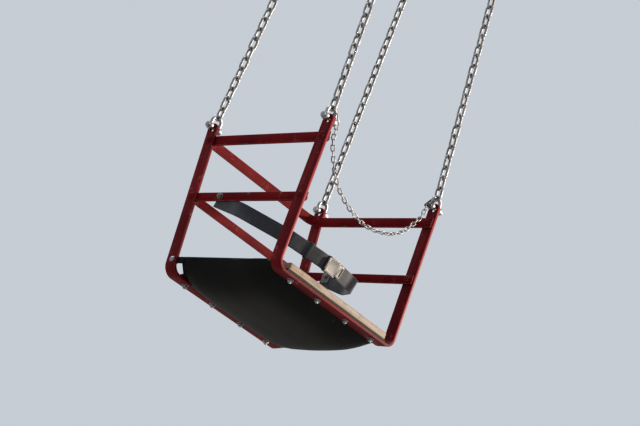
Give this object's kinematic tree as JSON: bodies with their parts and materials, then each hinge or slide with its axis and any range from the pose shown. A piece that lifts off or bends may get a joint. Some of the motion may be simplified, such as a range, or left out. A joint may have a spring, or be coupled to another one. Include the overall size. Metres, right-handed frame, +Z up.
{
  "type": "swing ride chair on four chains",
  "caption": "Swing ride chair: open red flat-bar frame, black moulded seat pan, lap belt and safety chain, hung on link chains from a jointed steel hanger.",
  "frame": {"origin": "middle of the flat top face of the hanger's mounting plate, where the chair is bolted up", "axes": "+Z up; the chair's front faces -Y; the ride's centre lies towards +X, so the chair flies out towards -X; +X is on the right for someone who stands in front of the chair and looks at it"},
  "size_m": [0.5574, 0.4759, 3.3095],
  "materials": {
    "red_paint": "worn gloss paint",
    "chain_steel": "dull galvanised",
    "plain_steel": "dull zinc plated",
    "hanger_steel": "dark grey satin paint",
    "seat_black": "matt grained",
    "bare_wood": "weathered bare wood",
    "webbing": "woven"
  },
  "bodies": {
    "hanger": {"mounting_plate": "hanger_steel", "front_lug": "hanger_steel", "rear_lug": "hanger_steel", "upper_pin": "plain_steel", "upper_nut": "plain_steel"},
    "swivel": {"swivel_block": "plain_steel"},
    "chair": {"left_cheek": "hanger_steel", "right_cheek": "hanger_steel", "lower_pin": "plain_steel", "lower_nut": "plain_steel", "spreader_bar": "hanger_steel", "left_arm": "hanger_steel", "right_arm": "hanger_steel", "upper_shackle_front_left": "plain_steel", "upper_shackle_front_right": "plain_steel", "upper_shackle_rear_left": "plain_steel", "upper_shackle_rear_right": "plain_steel", "chain_front_left": "chain_steel", "chain_front_right": "chain_steel", "chain_rear_left": "chain_steel", "chain_rear_right": "chain_steel", "lower_shackle_front_left": "plain_steel", "lower_shackle_front_right": "plain_steel", "lower_shackle_rear_left": "plain_steel", "lower_shackle_rear_right": "plain_steel", "front_hoop": "red_paint", "rear_hoop": "red_paint", "top_rail": "red_paint", "arm_rail": "red_paint", "seat_pan": "seat_black", "seat_front_strip": "bare_wood", "lap_belt": "webbing", "belt_buckle": "plain_steel", "safety_chain": "chain_steel"}
  },
  "joints": [
    {"name": "swing_out", "type": "hinge", "parent": "hanger", "child": "swivel", "pos_m": [0, 0, -0.078], "axis": [0, 1, 0], "range_deg": [-15, 50]},
    {"name": "swing_fore_aft", "type": "hinge", "parent": "swivel", "child": "chair", "pos_m": [0, 0, -0.168], "axis": [1, 0, 0], "range_deg": [-18, 18]}
  ]
}
